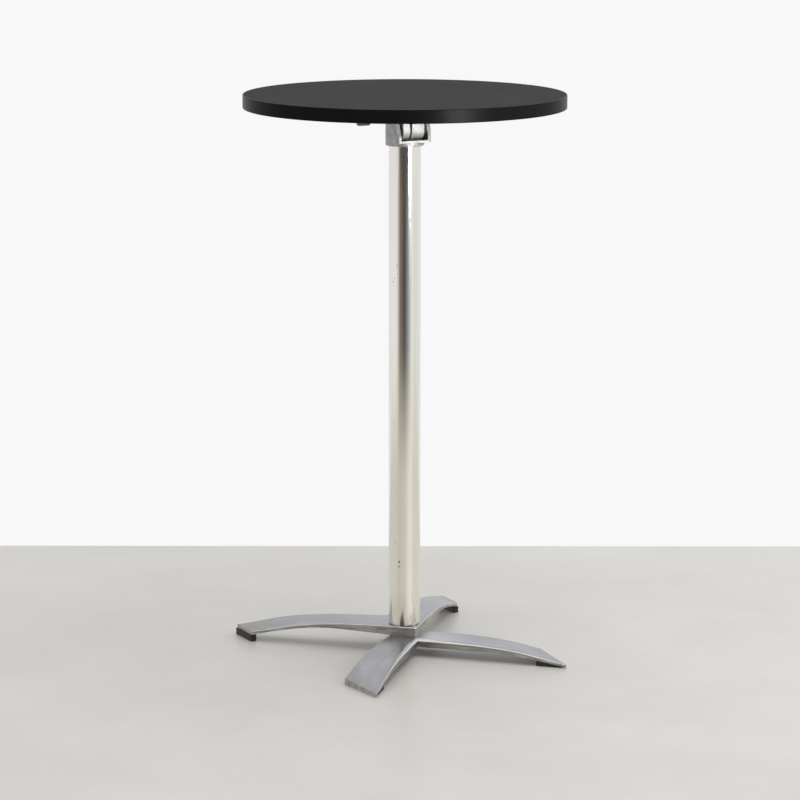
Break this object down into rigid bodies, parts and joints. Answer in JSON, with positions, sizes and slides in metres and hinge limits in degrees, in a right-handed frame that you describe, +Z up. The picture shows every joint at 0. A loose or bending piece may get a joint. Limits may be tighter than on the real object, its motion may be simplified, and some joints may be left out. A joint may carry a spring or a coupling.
{
  "type": "poseur table",
  "caption": "Tall round flip-top poseur table on a tube column with stacked cast V legs for nesting, a locking hinge under the board and a release lever.",
  "frame": {"origin": "on the floor, under the axis of the column", "axes": "+Z up along the column; X along the hinge; the board tips towards -Y, and the open side of the lower legs faces -Y"},
  "size_m": [0.5999, 0.6, 1.063],
  "materials": {
    "board": "black-backed particle board",
    "laminate": "satin black laminate",
    "edging": "satin black edging",
    "cast": "blasted casting",
    "legs": "brushed and polished casting",
    "tube": "polished tube",
    "lever": "blasted casting",
    "zinc": "zinc plated",
    "pin_steel": "ground",
    "nylon": "moulded",
    "foot": "moulded"
  },
  "bodies": {
    "base": {"hinge_head": "cast", "upper_legs": "legs", "lower_legs": "legs", "column_tube": "tube", "column_plug": "cast", "head_set_screws": "zinc", "hinge_pin": "pin_steel", "hinge_pin_screws": "zinc", "lock_disc": "zinc", "tie_rod": "zinc", "tie_rod_washer": "zinc", "tie_rod_nut": "zinc", "leg_dowels": "pin_steel", "foot_screws": "zinc", "hinge_spacers": "nylon", "high_foot_left": "foot", "high_foot_right": "foot", "low_foot_left": "foot", "low_foot_right": "foot"},
    "top": {"top_board": "board", "top_laminate": "laminate", "top_edge_band": "edging", "mounting_bracket": "cast", "bracket_screws": "zinc", "hinge_bushes": "nylon", "lever_pin": "pin_steel", "lever_spring": "pin_steel"},
    "lever": {"release_lever": "lever"}
  },
  "joints": [
    {"name": "top_tip", "type": "hinge", "parent": "base", "child": "top", "pos_m": [0, -0.024, 0.997], "axis": [1, 0, 0], "range_deg": [0, 90]},
    {"name": "release", "type": "hinge", "parent": "top", "child": "lever", "pos_m": [-0.00975, -0.002, 1.023], "axis": [1, 0, 0], "range_deg": [-6, 6], "stiffness_Nm_per_rad": 0.6, "springref_deg": -6, "deforming": ["lever_spring"]}
  ]
}
